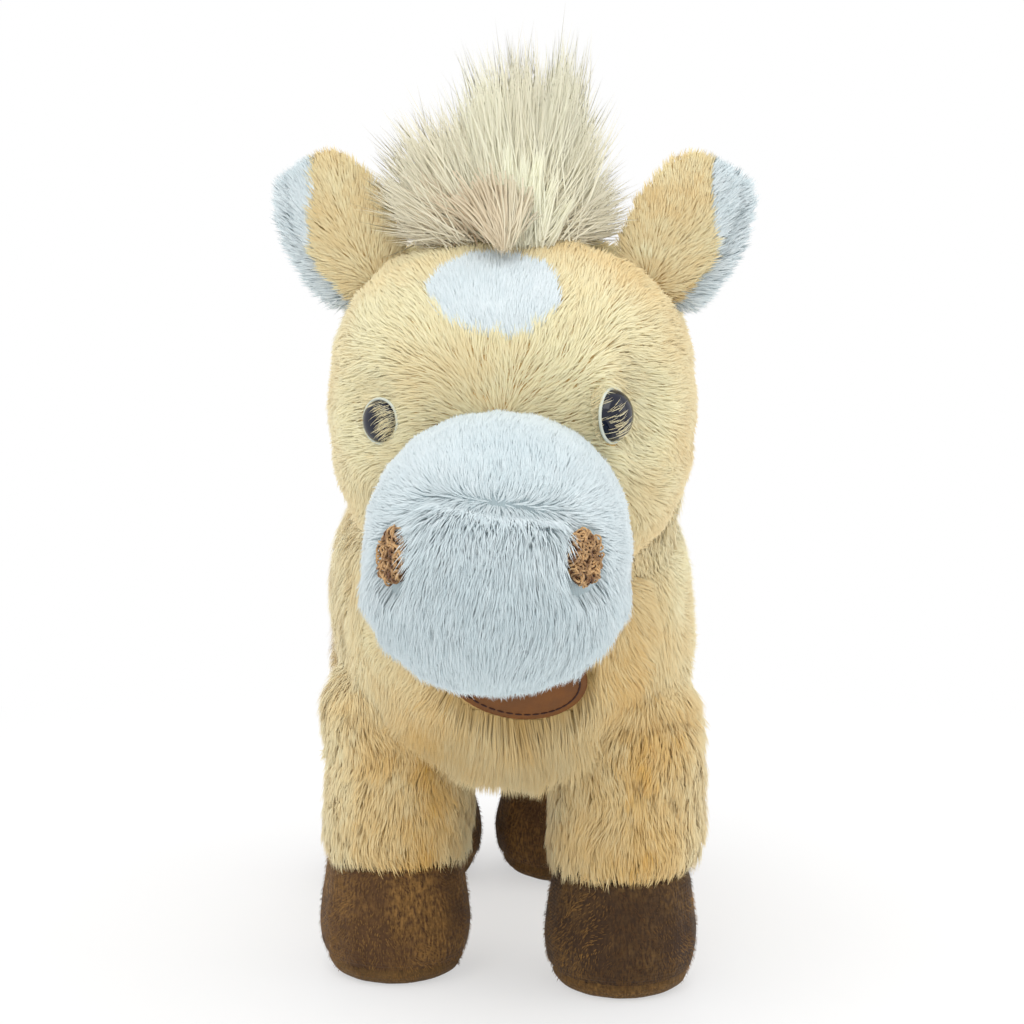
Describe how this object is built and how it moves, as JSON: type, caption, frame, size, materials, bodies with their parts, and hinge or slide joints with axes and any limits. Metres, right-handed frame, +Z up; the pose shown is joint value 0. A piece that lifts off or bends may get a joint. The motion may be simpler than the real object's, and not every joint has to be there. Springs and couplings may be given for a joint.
{
  "type": "plush horse",
  "caption": "Standing stuffed toy horse with brushed butter-yellow fur, a white muzzle, a pale forelock, brown hooves and a plain oval chest label.",
  "frame": {"origin": "on the ground, under the middle of the toy's box", "axes": "+Z up; the toy faces -Y, so its own left side is +X"},
  "size_m": [0.114, 0.23, 0.2345],
  "materials": {
    "butter_fur": "brushed butter-yellow plush",
    "white_fur": "brushed bluish-white plush",
    "beige_long_pile": "long straight beige pile",
    "brown_short_pile": "dark brown short-pile plush",
    "brown_looped_cloth": "brown looped cloth",
    "label_leatherette": "matt brown imitation leather",
    "label_thread": "dark brown sewing thread",
    "eye_plastic": "polished dark navy",
    "washer_plastic": "plain moulded plastic",
    "polyester_stuffing": "loose white polyester wadding"
  },
  "bodies": {
    "torso": {"belly_panel": "butter_fur", "body_side_left": "butter_fur", "body_side_right": "butter_fur", "body_stuffing": "polyester_stuffing", "chest_label": "label_leatherette", "label_stitching": "label_thread"},
    "neck": {"neck_cover": "butter_fur", "neck_stuffing": "polyester_stuffing"},
    "head": {"head_side_left": "butter_fur", "head_side_right": "butter_fur", "forehead_spot": "white_fur", "head_stuffing": "polyester_stuffing", "muzzle_bridge": "white_fur", "muzzle_front": "white_fur", "muzzle_stuffing": "polyester_stuffing", "eye_left": "eye_plastic", "eye_right": "eye_plastic", "eye_washer_left": "washer_plastic", "eye_washer_right": "washer_plastic", "nostril_left": "brown_looped_cloth", "nostril_right": "brown_looped_cloth", "forelock": "beige_long_pile", "side_lock": "beige_long_pile", "mane_crest": "beige_long_pile"},
    "ear_left": {"ear_front_left": "butter_fur", "ear_lining_left": "white_fur"},
    "ear_right": {"ear_front_right": "butter_fur", "ear_lining_right": "white_fur"},
    "tail": {"tail_root": "beige_long_pile", "tail_lock": "beige_long_pile"},
    "front_left_leg": {"front_left_leg_cover": "butter_fur", "front_left_stuffing": "polyester_stuffing", "front_left_hoof": "brown_short_pile", "front_left_sole": "brown_short_pile"},
    "front_right_leg": {"front_right_leg_cover": "butter_fur", "front_right_stuffing": "polyester_stuffing", "front_right_hoof": "brown_short_pile", "front_right_sole": "brown_short_pile"},
    "rear_left_leg": {"rear_left_leg_cover": "butter_fur", "rear_left_stuffing": "polyester_stuffing", "rear_left_hoof": "brown_short_pile", "rear_left_sole": "brown_short_pile"},
    "rear_right_leg": {"rear_right_leg_cover": "butter_fur", "rear_right_stuffing": "polyester_stuffing", "rear_right_hoof": "brown_short_pile", "rear_right_sole": "brown_short_pile"}
  },
  "joints": [
    {"name": "head_turn", "type": "hinge", "parent": "torso", "child": "neck", "pos_m": [0.00329, -0.01114, 0.13], "axis": [0, 0, 1], "range_deg": [-15, 15], "stiffness_Nm_per_rad": 0.8},
    {"name": "head_nod", "type": "hinge", "parent": "neck", "child": "head", "pos_m": [0.00329, -0.01114, 0.13], "axis": [0.9877, -0.1564, 0], "range_deg": [-10, 5], "stiffness_Nm_per_rad": 1.2},
    {"name": "ear_left_fold", "type": "hinge", "parent": "head", "child": "ear_left", "pos_m": [0.03132, -0.03886, 0.18078], "axis": [0.8721, -0.1381, -0.4695], "range_deg": [-20, 8], "stiffness_Nm_per_rad": 0.02},
    {"name": "ear_right_fold", "type": "hinge", "parent": "head", "child": "ear_right", "pos_m": [-0.03194, -0.02884, 0.18078], "axis": [0.8721, -0.1381, 0.4695], "range_deg": [-20, 8], "stiffness_Nm_per_rad": 0.02},
    {"name": "tail_swing", "type": "hinge", "parent": "torso", "child": "tail", "pos_m": [0.00329, 0.09921, 0.108], "axis": [1, 0, 0], "range_deg": [0, 45]},
    {"name": "front_left_hip", "type": "hinge", "parent": "torso", "child": "front_left_leg", "pos_m": [0.02879, -0.01964, 0.066], "axis": [1, 0, 0], "range_deg": [-12, 12], "stiffness_Nm_per_rad": 0.4},
    {"name": "front_right_hip", "type": "hinge", "parent": "torso", "child": "front_right_leg", "pos_m": [-0.02822, -0.00264, 0.066], "axis": [1, 0, 0], "range_deg": [-12, 12], "stiffness_Nm_per_rad": 0.4},
    {"name": "rear_left_hip", "type": "hinge", "parent": "torso", "child": "rear_left_leg", "pos_m": [0.02829, 0.08686, 0.066], "axis": [1, 0, 0], "range_deg": [-12, 12], "stiffness_Nm_per_rad": 0.4},
    {"name": "rear_right_hip", "type": "hinge", "parent": "torso", "child": "rear_right_leg", "pos_m": [-0.02172, 0.08686, 0.066], "axis": [1, 0, 0], "range_deg": [-12, 12], "stiffness_Nm_per_rad": 0.4}
  ]
}
